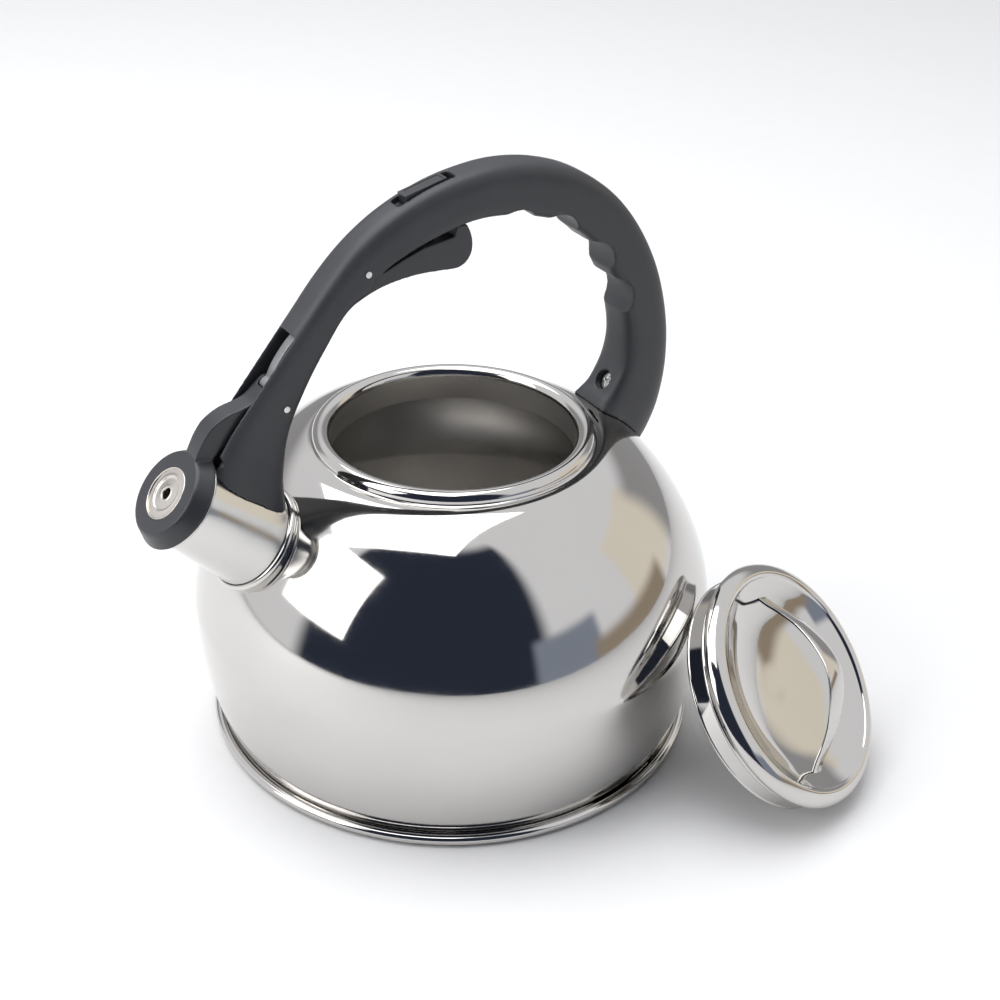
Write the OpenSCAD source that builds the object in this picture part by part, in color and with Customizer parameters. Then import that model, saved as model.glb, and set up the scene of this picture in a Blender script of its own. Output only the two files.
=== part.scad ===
// Stovetop whistling kettle: spun steel body, spout with a whistle cap worked by a trigger in the
// handle, and a lift-off lid that leans against the body.
// Millimetres, +Z up. The origin is on the body's axis where the base meets the stove.
// The spout points along -X and the handle lies in the XZ plane.

/* [Body] */
// Greatest outside radius of the belly
belly_r = 104.8; // [98:0.2:128]
// How far the wall's foot lies inside the belly's widest line
foot_in = 9.3; // [5:0.1:12]
// Height of the belly's widest line
belly_z = 56.9; // [45:0.1:70]
// Height where the shoulder turns up into the mouth
shoulder_z = 124.4; // [104:0.1:150]
// How full the shoulder is: 1 is an ellipse, more is flatter
shoulder_power = 1.25; // [1:0.05:1.5]
// Sheet thickness of the body
wall = 0.8; // [0.5:0.1:1.2]

/* [Mouth] */
// Inside radius of the mouth
mouth_r = 48.4; // [40:0.1:50]
// Radius of the rolled lip
lip_roll = 3.5; // [2:0.1:4]
// Depth of the straight collar inside the lip
collar_depth = 10; // [6:0.5:16]

/* [Base] */
// How far the rolled seam stands out beyond the wall's foot
seam_out = 4.5; // [2:0.1:6]
// Radius of the seam's roll
seam_roll = 2; // [1:0.1:2.5]
// Radius of the heat-spreading disc's steel cover
disc_r = 84; // [60:0.5:88]
// Thickness of the heat-spreading disc
disc_t = 1.6; // [1:0.1:4]

/* [Spout] */
// Angle of the spout above the horizontal
spout_tilt = 41.5; // [30:0.5:50]
// Where the spout leaves the shoulder: 0 is the belly's widest line, 90 the mouth
spout_root_a = 47.4; // [38:0.2:54]
// Outside radius of the spout at its root
spout_root_r = 19.2; // [16:0.1:22]
// Outside radius of the spout at its tip
spout_tip_r = 16; // [14.5:0.1:17]
// Length of the spout from the middle of its root to its tip
spout_length = 38.2; // [30:0.1:45]
// How far the rolled edge stands out at the spout's tip
tip_edge_out = 2.8; // [1.5:0.1:3.5]

/* [Whistle cap] */
// How much larger than the spout's tip the cap's front face is, in radius
cap_front_out = 0.6; // [0:0.1:2]
// How far the cap's back edge stands out beyond the spout's rolled edge
cap_back_out = 0.9; // [0:0.1:3]
// Thickness of the cap
cap_t = 6.3; // [5:0.1:9]
// Radius of the steel whistle in the cap
whistle_r = 10.2; // [8:0.1:11]
// Depth of the steel whistle
whistle_depth = 11; // [8:0.5:13]
// Radius of the whistle's holes
whistle_hole_r = 2.1; // [1:0.1:2.8]

/* [Handle] */
// Thickness of the handle's walls beside the hollow that takes the trigger
grip_wall = 2.1; // [1.6:0.1:3.6]
// Half of the width of the channel in the front leg
channel_half_w = 5.6; // [5.2:0.1:6]
// Gap between the cap's lever and the channel's sides
lever_side = 1.2; // [0.5:0.1:1.6]
// Half of the width of the hollow that takes the trigger
hollow_half_w = 7.5; // [6.5:0.1:7.8]
// Depth of the four finger grooves
groove_depth = 3.6; // [1:0.1:5]
// Radius of the finger grooves
groove_r = 9.5; // [8:0.5:14]

/* [Trigger and link] */
// Radius of the steel pivot pins
pin_r = 1.2; // [0.8:0.1:1.5]
// Running clearance round a pin
pin_gap = 0.06; // [0.02:0.01:0.1]
// Clearance beside a moving plastic piece
side_gap = 0.3; // [0.2:0.05:0.5]
// Thickness of the flat link rod
rod_t = 4.4; // [1.6:0.1:5]
// Depth of the link rod seen from the side
rod_h = 2.4; // [2:0.1:2.8]

/* [Thumb slide] */
// Length of the thumb slide
slide_length = 17.6; // [14:0.2:21]
// Half of the thumb slide's width
slide_half_w = 3; // [2:0.1:3.4]
// Length of the slot that it runs in
slot_length = 24.4; // [20:0.2:29]

/* [Lid] */
// How much larger than the mouth the lid's rounded rim is, in radius
rim_over = 0.9; // [0.5:0.1:3.4]
// Clearance between the lid's skirt and the mouth
skirt_gap = 2; // [0.4:0.1:2.5]
// How far the skirt's edge lies below the widest line of the rim
skirt_depth = 11.6; // [8:0.1:16]
// Height of the strap's crown above the widest line of the rim
strap_crown = 21.6; // [18:0.1:26]
// Width of the strap
strap_w = 10; // [6:0.5:16]
// Angle of the leaning lid's axis above the horizontal
lean_up = 40.2; // [30:0.2:60]
// Compass angle that the leaning lid faces, from +X
lean_turn = -62.3; // [-80:0.1:-40]
// Gap between the leaning lid and the body
lean_gap = 0.6; // [0.4:0.1:3]

/* [Hidden] */

$fn = 64;
touch = 0.02;        // clearance between pieces that are fixed face to face
// Sizes that follow from the ones above
shoulder_r = mouth_r + 2 * lip_roll + 1.5;
wall_foot_r = belly_r - foot_in;
seam_r = wall_foot_r + seam_out;
tip_edge_r = spout_tip_r + tip_edge_out;
cap_front_r = spout_tip_r + cap_front_out;
cap_back_r = tip_edge_r + cap_back_out;
grip_half_w = hollow_half_w + grip_wall;
lever_half_w = channel_half_w - lever_side;
lid_r = mouth_r + rim_over;
skirt_r = mouth_r - skirt_gap;

// A point on the shoulder's curve: radius and height
function on_shoulder(a) = [
    shoulder_r + (belly_r - shoulder_r) * pow(cos(a), shoulder_power),
    belly_z + (shoulder_z - belly_z) * pow(sin(a), shoulder_power)
];
spout_dir = [-cos(spout_tilt), sin(spout_tilt)];
spout_sink = 0.8;
spout_root = [spout_sink - on_shoulder(spout_root_a)[0], on_shoulder(spout_root_a)[1]];

// The handle is drawn for one body; its front and its rear foot move with the shoulder under them
front_drawn = [-85.5, 102.9];
rear_drawn = [80.1, 110.3];
front_move = spout_root - front_drawn;
rear_move = on_shoulder(56) - rear_drawn;
blend_x0 = 6;
blend_x1 = 76;
function share(x) = min(1, max(0, (x - blend_x0) / (blend_x1 - blend_x0)));
function moved(p, x) = p + front_move * (1 - share(x)) + rear_move * share(x);
function front(list) = [for (p = list) p + front_move];

// Pivot pins in the XZ plane
pin_a = front_move + [-40.6, 203.1];
pin_b = front_move + [-74.5, 158.5];
// The link's upper pin, on the trigger
link_a = pin_a + [21.5, -2];

hub_r = pin_r + 2.2;
// The front leg's own directions: up along it, and out through its outer face
leg_angle = 50.1;
function leg(up, out) = pin_b + up * [cos(leg_angle), sin(leg_angle)]
    + out * [-sin(leg_angle), cos(leg_angle)];
// The link's lower pin, on the cap's lever
link_b = leg(3.5, 6);

// A smooth curve through points of any number of values, with n steps to each span
function spline_at(a, b, c, d, t) = 0.5 * (2 * b + t * (c - a)
    + t * t * (2 * a - 5 * b + 4 * c - d) + t * t * t * (3 * b - a - 3 * c + d));
function curve(p, n) = [
    for (i = [0 : len(p) - 2], k = [0 : n - 1])
        spline_at(p[max(i - 1, 0)], p[i], p[i + 1], p[min(i + 2, len(p) - 1)], k / n),
    p[len(p) - 1]
];
function unit(v) = v / norm(v);
function arc(c, r, a0, a1, n) = [
    for (i = [0 : n]) c + r * [cos(a0 + (a1 - a0) * i / n), sin(a0 + (a1 - a0) * i / n)]
];
// A path moved sideways by d, to the right of its direction
function shift(p, d) = [
    for (i = [0 : len(p) - 1])
        let (t = unit(p[min(i + 1, len(p) - 1)] - p[max(i - 1, 0)])) p[i] + d * [t[1], -t[0]]
];
function reversed(p) = [for (i = [len(p) - 1 : -1 : 0]) p[i]];

// Extrudes an XZ outline to both sides of the middle plane, or from y0 to y1
module slab(half) { span(-half, half) children(); }
module span(y0, y1) { translate([0, y1, 0]) rotate([90, 0, 0]) linear_extrude(y1 - y0) children(); }
// Puts children, made along +Z, on an axis in the XZ plane that starts at p and runs along d
module along(p, d) { translate([p[0], 0, p[1]]) rotate([0, atan2(d[0], d[1]), 0]) children(); }
// A pin or bore across the handle
module cross_pin(p, r, half) { translate([p[0], 0, p[1]]) rotate([90, 0, 0]) cylinder(r = r, h = 2 * half, center = true); }

// ---- body ----
lip_c = [mouth_r + lip_roll, shoulder_z + 1];
floor_z = disc_t + 1.4;
function belly(n) = [
    for (i = [0 : n]) let (a = i / n)
        [wall_foot_r + (belly_r - wall_foot_r) * (1 - pow(1 - a, 2)), floor_z + (belly_z - floor_z) * a]
];
function shoulder(n) = [
    for (i = [1 : n]) on_shoulder(90 * i / n)
];
side = concat(belly(9), shoulder(18));
lip = concat(arc(lip_c, lip_roll, 0, 180, 12), [[mouth_r, lip_c[1] - collar_depth]]);
// The same curve gives the inside, one wall thickness in
side_in = shift(side, -wall);
lip_in = concat(arc(lip_c, lip_roll - wall, 0, 180, 12), [[mouth_r + wall, lip_c[1] - collar_depth]]);

// Everything inside the body's outer surface, grown by g
module body_solid(g = 0) {
    rotate_extrude($fn = 96)
        polygon(concat([[0, floor_z]], shift(side, g), [[lip_c[0], shoulder_z + g], [0, shoulder_z + g]]));
}
module spout_solid(r0, r1, length) { along(spout_root, spout_dir) cylinder(r1 = r0, r2 = r1, h = length, $fn = 96); }

module body_shell() {
    color("silver") difference() {
        rotate_extrude($fn = 96)
            polygon(concat(side, lip, reversed(lip_in), reversed(side_in)));
        along(spout_root - 30 * spout_dir, spout_dir) cylinder(r = spout_tip_r - 1.5, h = 60);
    }
}
module base_pan() {
    color("silver") rotate_extrude($fn = 96) union() {
        translate([0, floor_z - wall]) square([seam_r - seam_roll, wall - touch]);
        translate([seam_r - seam_roll, floor_z]) circle(r = seam_roll, $fn = 32);
    }
}
module heat_disc() {
    color("gainsboro") translate([0, 0, wall]) cylinder(r = disc_r - wall - touch, h = floor_z - 2 * wall - touch, $fn = 96);
}
module disc_cover() {
    color("silver") difference() {
        cylinder(r = disc_r, h = floor_z - wall - touch, $fn = 96);
        translate([0, 0, wall - touch]) cylinder(r = disc_r - wall, h = floor_z, $fn = 96);
    }
}

// ---- spout ----
spout_wall = 0.8;
root_skirt = 6;      // the spout and its collar run this far down, to meet the shoulder all round
spout_out_r = spout_root_r + 0.6;
tip_neck_r = spout_tip_r + (spout_out_r - spout_tip_r) / spout_length;
module spout_tube() {
    color("silver") difference() {
        along(spout_root, spout_dir) rotate_extrude($fn = 96) polygon([
            [spout_root_r - spout_wall, -root_skirt], [spout_out_r, -root_skirt], [spout_out_r, 0],
            [tip_neck_r, spout_length - 1], [tip_edge_r, spout_length - 1], [tip_edge_r, spout_length],
            [spout_tip_r - spout_wall, spout_length], [spout_root_r - spout_wall, 0]
        ]);
        body_solid(touch);
    }
}
collar_roll = 1.5;
collar_at = 1.2;
collar_in = spout_root_r + 0.6 + touch;
module collar_ring(g = 0) {
    along(spout_root, spout_dir) rotate_extrude($fn = 96)
        polygon(concat([[collar_in, -root_skirt], [collar_in + 0.9 + g, -root_skirt]],
            [for (p = arc([collar_in, collar_at], collar_roll + g, -50, 90, 7)) p]));
}
module spout_collar() {
    color("silver") difference() {
        collar_ring();
        body_solid(touch);
    }
}

// ---- handle ----
// Each row: outer x and z, inner x and z, half width at the outer face, half width at the inner face
w = grip_half_w;
handle_rows = [
    [-104.5, 134, -76, 110, w + 1.6, w + 3.4],
    [-101.4, 143.8, -76.5, 121, w + 0.6, w + 2.4],
    [-96, 152.8, -76, 133, w - 0.6, w + 0.8],
    [-88.5, 162, -72.8, 148.5, w - 1.4, w - 0.2],
    [-77.5, 175, -65.5, 164, w - 1.6, w - 0.4],
    [-66, 188.5, -57.5, 177.3, w - 1.6, w - 0.2],
    [-54.5, 202, -48.5, 189.6, w - 1.6, w],
    [-43, 213, -37.5, 196, w - 1.4, w],
    [-29, 222, -25, 203, w - 1.2, w],
    [-12, 228.8, -9, 211, w - 1, w],
    [5, 232.2, 4, 214, w - 0.8, w],
    [20, 232.8, 17, 213.6, w - 0.6, w],
    [36, 230.2, 29.5, 211, w - 0.4, w],
    [52, 224, 43, 206, w - 0.2, w],
    [68, 212.5, 55.5, 196.6, w, w],
    [81, 196.8, 65.5, 183.5, w, w],
    [91, 177.5, 72.6, 168, w, w],
    [97, 156, 76.2, 151.5, w, w],
    [98.4, 136, 75, 139, w + 0.2, w + 0.8],
    [96, 119, 69.8, 129, w + 0.6, w + 1],
    [91.5, 107, 66, 125, w + 0.4, w + 2],
    [87, 99, 62.5, 121, w - 0.4, w + 4],
    [84, 92, 57.5, 114, w - 1, w + 5]
];
ring_n = 24;
// How round the section's outer and inner corners are: 1 is an ellipse, less is squarer
outer_round = 0.6;
inner_round = 0.36;
// One section of the handle: a rounded oblong between the outer and inner points
function section(r) = [
    for (k = [0 : ring_n - 1])
        let (a = 360 * k / ring_n, e = cos(a) > 0 ? outer_round : inner_round,
             v = sign(cos(a)) * pow(abs(cos(a)), e), s = sign(sin(a)) * pow(abs(sin(a)), e),
             half = r[5] + (r[4] - r[5]) * (v + 1) / 2,
             x = (r[0] + r[2]) / 2 + v * (r[0] - r[2]) / 2, z = (r[1] + r[3]) / 2 + v * (r[1] - r[3]) / 2)
            [x, s * half, z]
];
module handle_blank() {
    rows = curve([
        for (r = handle_rows) concat(moved([r[0], r[1]], r[0]), moved([r[2], r[3]], r[0]), [r[4], r[5]])
    ], 3);
    n = len(rows);
    points = [for (r = rows, p = section(r)) p];
    sides = [
        for (i = [0 : n - 2], k = [0 : ring_n - 1])
            let (m = (k + 1) % ring_n, a = i * ring_n)
                [a + k, a + m, a + ring_n + m, a + ring_n + k]
    ];
    caps = [
        [for (k = [ring_n - 1 : -1 : 0]) k],
        [for (k = [0 : ring_n - 1]) (n - 1) * ring_n + k]
    ];
    polyhedron(points, concat(sides, caps), convexity = 6);
}
// Finger grooves along the inside of the grip: middle of each, and the way it faces
grooves = [[23, 213], [43, 206.3], [61.4, 190], [72, 171]];
groove_face = [[0.1, 0.99], [0.42, 0.91], [0.75, 0.66], [0.92, 0.39]];
groove_share = [0.62, 0.9, 1.15, 1.3];

// The channel in the front leg, open to the front, and the tunnel that the rod runs through
channel_top = 23.2;
channel_floor = -(hub_r + side_gap);
eye_room = hub_r - 3.4;
module channel_outline() {
    polygon([
        leg(channel_top, 22), leg(channel_top, 4.4), leg(17, 3.6), leg(8.6, 1.2 - eye_room),
        leg(6 + eye_room, -0.8 - eye_room), leg(2.2 + eye_room, channel_floor), leg(-40, channel_floor), leg(-40, 40)
    ]);
}
// Route of the link rod's middle line
rod_route = [
    link_a, front_move + [-29, 199.8], front_move + [-38.5, 197.5], front_move + [-47, 193.7], leg(34, 5), leg(23, 7.8), leg(15, 8.2), leg(9, 7.6), link_b
];
rod_line = curve(rod_route, 3);
tunnel_line = [for (i = [4 : len(rod_line) - 3]) rod_line[i]];
module tunnel_outline() {
    polygon(concat(shift(tunnel_line, -(rod_h / 2 + 0.8)), reversed(shift(tunnel_line, rod_h / 2 + 3.2))));
}
// The hollow over the trigger, and the line where the handle's walls end beside it
boss_r = pin_r + 3;
hollow_end_x = 4;
module hollow_outline() {
    polygon(concat(
        front([[-56, 180], [-50, 192]]), arc(pin_a, boss_r + 1.2, 175, 105, 6),
        front([[-31, 212.2], [-18, 219.2], [-8, 222.6], [hollow_end_x, 223.6], [hollow_end_x, 200], [-20, 185]])
    ));
}
module wall_edge_outline() {
    polygon(front(concat(
        [[-44.5, 180], [-42.2, 193.6]],
        curve([[-38.6, 199.6], [-33, 203.6], [-26, 207], [-17, 210.4], [-8, 212.6], [hollow_end_x, 213.6]], 3),
        [[hollow_end_x + 6, 180]]
    )));
}
// Thumb slide: the middle of its slot on the top face, and its direction
slide_mid = front_move + [-13.7, 228.3];
slide_dir = [cos(14), sin(14)];
slide_up = [-sin(14), cos(14)];
slot_depth = 4;
module slide_place() { translate([slide_mid[0], 0, slide_mid[1]]) rotate([0, -14, 0]) children(); }

bracket_t = 1.5;
// Screws: where each head seats, and the way it drives in
front_screw_seat = leg(-11.5, channel_floor + bracket_t + touch);
front_screw_dir = [sin(leg_angle), -cos(leg_angle)];
rear_screw_seat = rear_move + [75.2, 128.4];
rear_screw_dir = [cos(-29), sin(-29)];
screw_r = 1.9;
head_r = 3.6;
head_t = 2;
rear_plate = rear_screw_seat + 6 * rear_screw_dir;

module handle() {
    color([0.24, 0.25, 0.27]) difference() {
        handle_blank();
        for (i = [0 : 3]) let (c = moved(grooves[i], grooves[i][0]) - (groove_r - groove_depth * groove_share[i]) * groove_face[i])
            cross_pin(c, groove_r, 40);
        slab(channel_half_w) channel_outline();
        slab(rod_t / 2 + side_gap) tunnel_outline();
        slab(hollow_half_w) hollow_outline();
        slab(40) wall_edge_outline();
        slide_place() translate([-slot_length / 2, -slide_half_w - side_gap, -slot_depth])
            cube([slot_length, 2 * (slide_half_w + side_gap), 20]);
        cross_pin(pin_a, pin_r, 40);
        cross_pin(pin_b, pin_r, 40);
        // screw holes
        along(front_screw_seat, front_screw_dir) translate([0, 0, -1]) cylinder(r = screw_r, h = 8);
        along(rear_screw_seat - 12 * rear_screw_dir, rear_screw_dir) cylinder(r = head_r + 0.4, h = 12, $fn = 32);
        along(rear_screw_seat - rear_screw_dir, rear_screw_dir) cylinder(r = screw_r, h = 16);
        // pocket for the rear bracket's upright
        along(rear_plate, rear_screw_dir) translate([-40, -7 - touch, -touch]) cube([47, 14 + 2 * touch, 2 + 2 * touch]);
        // what the feet sit on
        body_solid(touch * 2);
        cylinder(r = lip_c[0] + lip_roll + 0.6, h = lip_c[1] + lip_roll + 1, $fn = 96);
        spout_solid(spout_root_r + 0.6 + touch, spout_tip_r + touch, spout_length);
        along(spout_root + (spout_length - 1.6) * spout_dir, spout_dir) cylinder(r = cap_back_r + 1.5, h = 60);
        collar_ring(touch);
        along(spout_root - 30 * spout_dir, spout_dir) cylinder(r = collar_in + 0.9, h = 31);
    }
}
module front_bracket() {
    color("silver") difference() {
        slab(channel_half_w - 0.6) polygon([
            leg(-6, channel_floor + touch), leg(-6, channel_floor + bracket_t),
            leg(-40, channel_floor + bracket_t), leg(-40, channel_floor + touch)
        ]);
        along(front_screw_seat, front_screw_dir) translate([0, 0, -4]) cylinder(r = screw_r, h = 8);
        body_solid(touch);
        spout_solid(spout_root_r + 0.6 + touch, spout_tip_r + touch, spout_length);
    }
}
module rear_bracket() {
    color("silver") difference() {
        along(rear_plate, rear_screw_dir) translate([-30, -7, 0]) cube([36, 14, 2]);
        along(rear_screw_seat, rear_screw_dir) cylinder(r = screw_r, h = 16);
        body_solid(touch);
    }
}
module screw(seat, dir, length) {
    color("silver") along(seat - head_t * dir, dir) difference() {
        union() {
            cylinder(r = head_r, h = head_t, $fn = 32);
            cylinder(r = screw_r - touch, h = head_t + length);
        }
        for (a = [0, 90]) rotate(a) translate([-2, -0.4, -1]) cube([4, 0.8, 2]);
    }
}
module front_screw() { screw(front_screw_seat, front_screw_dir, 5); }
module rear_screw() { screw(rear_screw_seat, rear_screw_dir, 12); }

// ---- trigger and link ----
trigger_half_w = hollow_half_w - side_gap;
trigger_slot = 3.4;
upper_eye_r = pin_r + 0.9;
module trigger_outline() {
    polygon(concat(
        front(curve([[-48.6, 190.2], [-39.2, 194.6], [-31, 196.9], [-21, 198], [-12, 197.8], [-4.2, 197.2]], 4)),
        front(curve([[-1.6, 197.6], [0.8, 199], [2.8, 202], [3.4, 205.6], [2.6, 209.8], [0.9, 213.4]], 3)),
        front([[-3.2, 213.4], [-4.4, 209.6], [-17, 207.8], [-26, 204.8], [-33.6, 201.6], [-36, 202.4]]),
        arc(pin_a, boss_r, 20, 160, 8), front([[-47.6, 196]])
    ));
}
module trigger() {
    color([0.26, 0.27, 0.29]) difference() {
        slab(trigger_half_w) trigger_outline();
        slab(trigger_slot) polygon(concat(
            [link_a + [upper_eye_r + side_gap, 30]], arc(link_a, upper_eye_r + side_gap, 0, -110, 6),
            front([[-29, 198.1], [-39, 195.7], [-49, 190.3], [-60, 196], [-45, 215]])
        ));
        cross_pin(pin_a, pin_r + pin_gap, 20);
        cross_pin(link_a, pin_r, 5.4);
        // seat of the return spring
        translate([spring_x, 0, spring_bottom - touch]) cylinder(r = 3.6, h = 10);
    }
}
module trigger_pin() { color("silver") cross_pin(pin_a, pin_r - touch / 2, grip_half_w - 0.2); }
module lever_pin() { color("silver") cross_pin(pin_b, pin_r - touch / 2, grip_half_w - 0.2); }

spring_r = 2.8;
spring_wire = 0.45;
spring_x = front_move[0] - 12;
spring_bottom = front_move[1] + 206.6;
spring_top = front_move[1] + 219.6;
spring_turns = 5;
module trigger_spring() {
    sides = 8;
    steps = 16 * spring_turns;
    rise = spring_top - spring_bottom - 2 * spring_wire;
    points = [
        for (i = [0 : steps], k = [0 : sides - 1])
            let (a = 360 * spring_turns * i / steps, b = 360 * k / sides, r = spring_r + spring_wire * cos(b))
                [spring_x + r * cos(a), r * sin(a), spring_bottom + spring_wire + rise * i / steps + spring_wire * sin(b)]
    ];
    faces = concat(
        [[for (k = [0 : sides - 1]) k]],
        [for (i = [0 : steps - 1], k = [0 : sides - 1]) let (m = (k + 1) % sides, a = i * sides)
            [a + k, a + sides + k, a + sides + m, a + m]],
        [[for (k = [sides - 1 : -1 : 0]) steps * sides + k]]
    );
    color("gainsboro") polyhedron(points, faces, convexity = 10);
}

link_gap = 0.5;      // free play of the rod's eye round the cap lever's pin
eye_r = pin_r + link_gap + 1.1;
module link_rod() {
    color([0.6, 0.61, 0.62]) difference() {
        union() {
            slab(rod_t / 2) polygon(concat(shift(rod_line, -rod_h / 2), reversed(shift(rod_line, rod_h / 2))));
            cross_pin(link_a, upper_eye_r, trigger_slot - side_gap);
            cross_pin(link_b, eye_r, rod_t / 2);
        }
        cross_pin(link_a, pin_r + pin_gap, 20);
        cross_pin(link_b, pin_r + link_gap, 20);
    }
}
module link_pin() { color("silver") cross_pin(link_a, pin_r - touch / 2, 5.3); }

// ---- whistle cap ----
cap_gap = 0.35;      // between the closed cap and the spout's rolled edge
cap_front = spout_root + (spout_length + cap_gap + cap_t) * spout_dir;
module cap_place() { along(cap_front, -spout_dir) children(); }
module lever_outline() {
    up = [sin(spout_tilt), cos(spout_tilt)];
    rim_front = cap_front + (cap_front_r - 0.9) * up + 0.2 * [-spout_dir[0], -spout_dir[1]];
    rim_back = cap_front - (cap_t - 0.4) * spout_dir + (cap_back_r - 3) * up;
    polygon(concat(
        curve(concat([rim_front, rim_front + [1.1, 2.6]],
            front([[-104.9, 151.4], [-101.4, 155.6], [-95.4, 158.9], [-89.5, 160.2], [-85, 161.8], [-80.6, 165.4]])), 4),
        arc(link_b, eye_r, 140, 10, 6), arc(pin_b, hub_r, 40, -100, 8),
        curve(concat(front([[-80, 152.8], [-87.5, 152.2], [-94, 150.2], [-98.2, 146.6]]), [rim_back]), 4)
    ));
}
module cap_lever() {
    color([0.26, 0.27, 0.29]) difference() {
        union() {
            cap_place() rotate_extrude($fn = 96) polygon([
                [whistle_r + touch, 0], [cap_front_r - 0.8, 0], [cap_front_r, 0.7], [cap_back_r - 0.3, cap_t - 0.9],
                [cap_back_r, cap_t - 0.4], [cap_back_r - 0.4, cap_t], [whistle_r + touch, cap_t]
            ]);
            slab(lever_half_w) lever_outline();
            cross_pin(pin_b, hub_r, channel_half_w - side_gap);
        }
        cap_place() translate([0, 0, -1]) cylinder(r = whistle_r + touch, h = 20);
        // groove of the seal
        cap_place() translate([0, 0, cap_t - 1.6]) difference() {
            cylinder(r = spout_tip_r + 1 + touch, h = 4);
            translate([0, 0, -1]) cylinder(r = spout_tip_r - 2.4 - touch, h = 6);
        }
        cap_place() translate([0, 0, cap_t]) cylinder(r = 32, h = 6);
        // fork for the rod
        cross_pin(link_b, eye_r + 0.5, rod_t / 2 + side_gap);
        slab(rod_t / 2 + side_gap) polygon([
            link_b + [-3.3, 0], link_b + [1.5, -3], link_b + [16, 12], link_b + [0, 16], link_b + [-5, 6]
        ]);
        cross_pin(pin_b, pin_r + pin_gap, 20);
        cross_pin(link_b, pin_r, lever_half_w - 0.6);
    }
}
module crank_pin() { color("silver") cross_pin(link_b, pin_r - touch / 2, lever_half_w - 0.7); }
module whistle_cup() {
    color("silver") cap_place() difference() {
        cylinder(r = whistle_r, h = whistle_depth);
        translate([0, 0, -1]) cylinder(r = whistle_r - 0.7, h = whistle_depth + 2);
    }
}
module whistle_plate(depth) {
    color("silver") cap_place() translate([0, 0, depth]) difference() {
        cylinder(r = whistle_r - 0.7 - touch, h = 0.6);
        translate([0, 0, -1]) cylinder(r = whistle_hole_r, h = 3);
    }
}
module whistle_face() { whistle_plate(0.3); }
module whistle_reed() { whistle_plate(whistle_depth - 1.4); }
module cap_seal() {
    color("dimgray") cap_place() translate([0, 0, cap_t - 1.6 + touch]) difference() {
        cylinder(r = spout_tip_r + 1, h = 1.6 - touch);
        translate([0, 0, -1]) cylinder(r = spout_tip_r - 2.4, h = 4);
    }
}

// ---- thumb slide ----
module thumb_slide() {
    color([0.27, 0.28, 0.3]) slide_place() difference() {
        translate([-slide_length / 2, -slide_half_w, -slot_depth + 0.9]) cube([slide_length, 2 * slide_half_w, slot_depth - 0.3]);
        translate([-slide_length / 2 + 2.2, -slide_half_w + 0.8, 0]) cube([slide_length - 3.2, 2 * slide_half_w - 1.6, 4]);
    }
}
module slide_spring() {
    color("gainsboro") slide_place() translate([-slide_length / 4, -slide_half_w + 0.6, -slot_depth + touch])
        cube([slide_length / 2, 2 * slide_half_w - 1.2, 0.4]);
}

// ---- lid ----
// The lid is drawn about +Z with the widest line of its rim at z = 0, then leaned on the body
rim_top = 4.6;
bowl_floor = -6.5;
lid_t = 0.8;
bead_r = 0.8;
lean_aim = -52.7;    // compass angle of the lid's middle from the body's axis
// The skirt's edge stands on the table and its other side leans on the belly
lean_z = skirt_depth * sin(lean_up) + (skirt_r - bead_r / 2) * cos(lean_up) + bead_r + 0.1;
lean_n = [cos(lean_up) * cos(lean_turn), cos(lean_up) * sin(lean_turn), sin(lean_up)];
lean_u = [-sin(lean_turn), cos(lean_turn), 0];
lean_v = cross(lean_n, lean_u);
function edge_point(a) = (skirt_r + bead_r / 2) * (cos(a) * lean_u + sin(a) * lean_v) - (skirt_depth + bead_r / 2) * lean_n;
// Outside radius of the body at a height
function body_r(z) = z < belly_z
    ? wall_foot_r + (belly_r - wall_foot_r) * (1 - pow(1 - max(0, z - floor_z) / (belly_z - floor_z), 2))
    : z < shoulder_z ? on_shoulder(asin(pow((z - belly_z) / (shoulder_z - belly_z), 1 / shoulder_power)))[0] : 0;
// How far out the lid has to stand for one point of its edge to clear the body
function stand_off(q) = let (e = q[0] * cos(lean_aim) + q[1] * sin(lean_aim), r = body_r(lean_z + q[2]) + lean_gap,
    k = e * e - q[0] * q[0] - q[1] * q[1] + r * r) k > 0 ? sqrt(k) - e : 0;
lean_r = max([for (a = [0 : 3 : 357]) stand_off(edge_point(a))]);
module lid_place() {
    translate([lean_r * cos(lean_aim), lean_r * sin(lean_aim), lean_z])
        rotate([0, 0, lean_turn]) rotate([0, 90 - lean_up, 0]) children();
}
rim_bottom = -4.9;
lid_top = concat(
    [[0, bowl_floor]],
    curve([[12, bowl_floor + 0.2], [26, bowl_floor + 2.6], [36, bowl_floor + 6.4], [lid_r - 7.6, 3],
        [lid_r - 6.2, rim_top - 0.4], [lid_r - 4.4, rim_top], [lid_r - 1.5, rim_top - 1.6], [lid_r, 0.3],
        [lid_r - 0.7, -1.8], [lid_r - 2, -2.8]], 4),
    curve([[skirt_r + 0.6, -3.2], [skirt_r + 0.9, -3.9], [skirt_r + 0.5, -4.6], [skirt_r + touch, rim_bottom]], 3)
);
lid_under = concat(
    [[skirt_r + touch, -2.6], [skirt_r - 0.2, -2.2], [lid_r - 2.2, -1.4], [lid_r - 1.2, 0.2], [lid_r - 4.2, rim_top - 1.1],
        [lid_r - 6.8, 2.3]],
    [for (p = reversed(lid_top)) if (p[0] < lid_r - 8.2) p - [0, lid_t]]
);
module lid_shell() {
    color("silver") lid_place() rotate_extrude($fn = 96) polygon(concat(lid_top, lid_under));
}
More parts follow.
